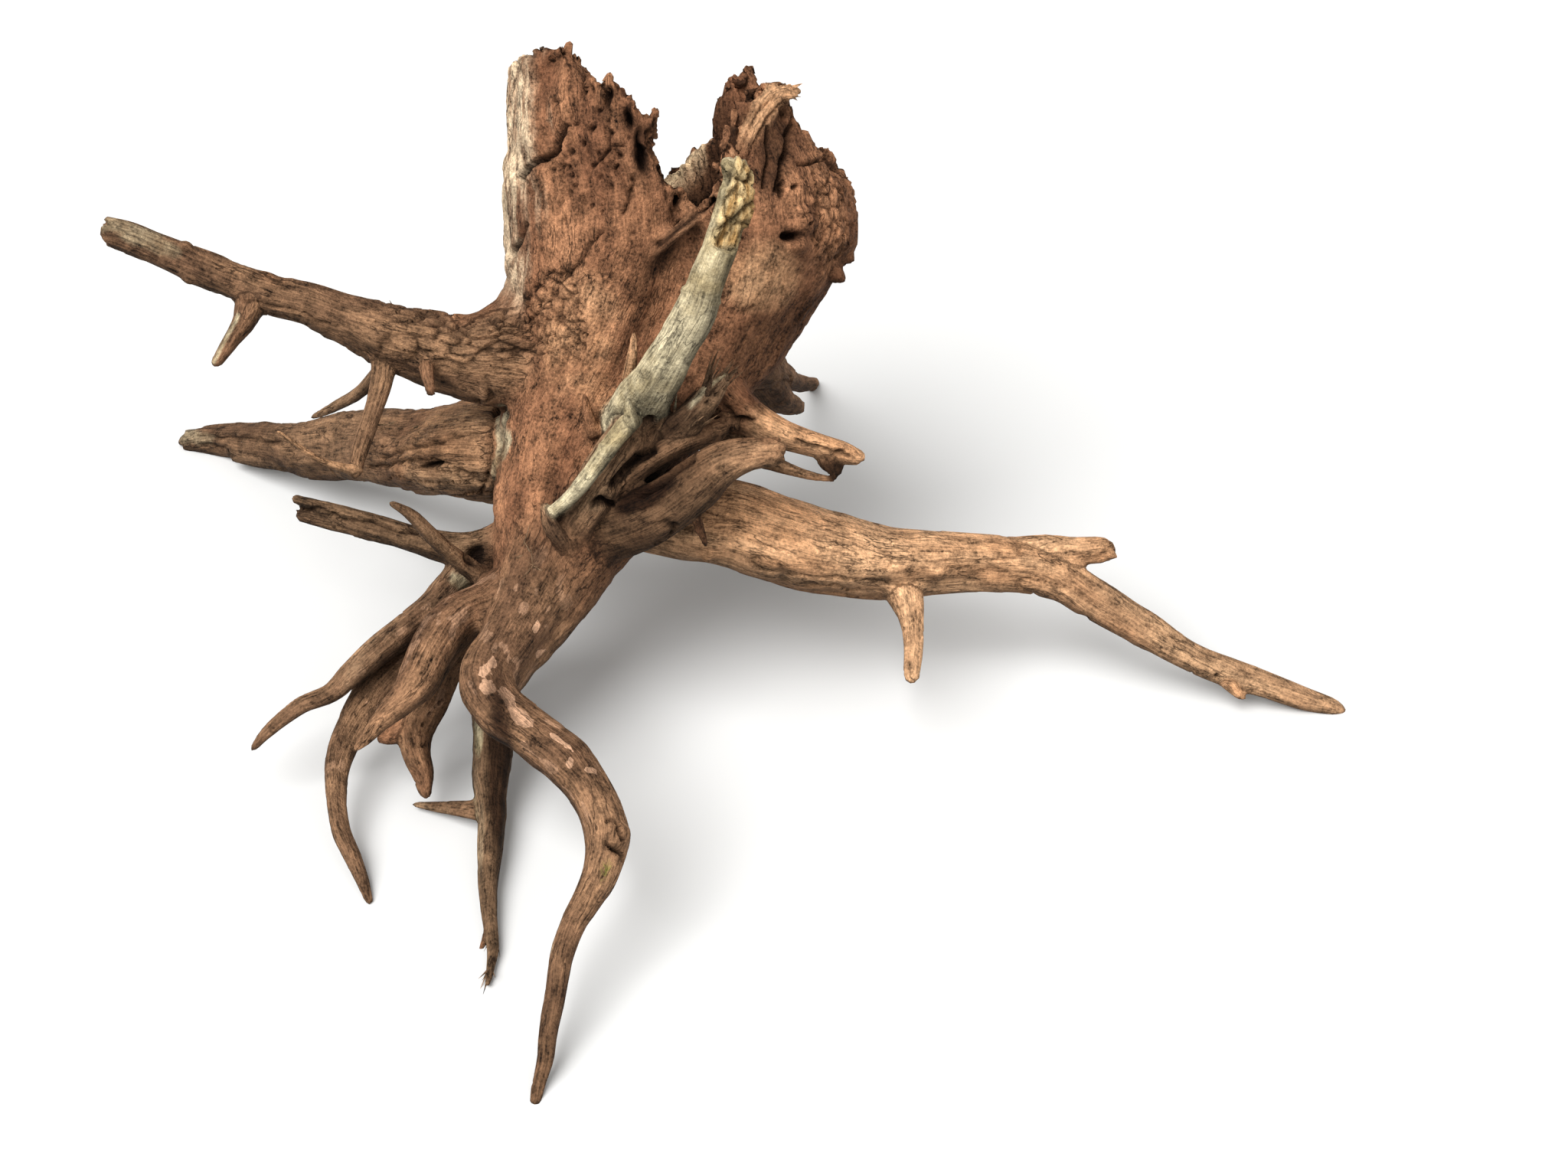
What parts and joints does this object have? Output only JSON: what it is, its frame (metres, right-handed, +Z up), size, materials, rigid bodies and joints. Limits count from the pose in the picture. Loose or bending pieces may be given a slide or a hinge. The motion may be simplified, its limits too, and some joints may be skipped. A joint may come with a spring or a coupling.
{
  "type": "piece of driftwood",
  "caption": "Weathered root stump of driftwood: a hollow broken trunk leaning back over a knot of bent, tapering roots that it stands on.",
  "frame": {"origin": "middle of the ground footprint's bounding box, on the ground that the root tips stand on", "axes": "+Z up, shortest extent; +X to the right as the picture sees it, along the heavy right arm, longest extent; +Y away from the viewer"},
  "size_m": [0.8691, 0.7276, 0.4113],
  "materials": {
    "wood": "weathered, matt, red brown to tan with a bleached grey root"
  },
  "bodies": {
    "root": {"driftwood": "wood"}
  },
  "joints": []
}
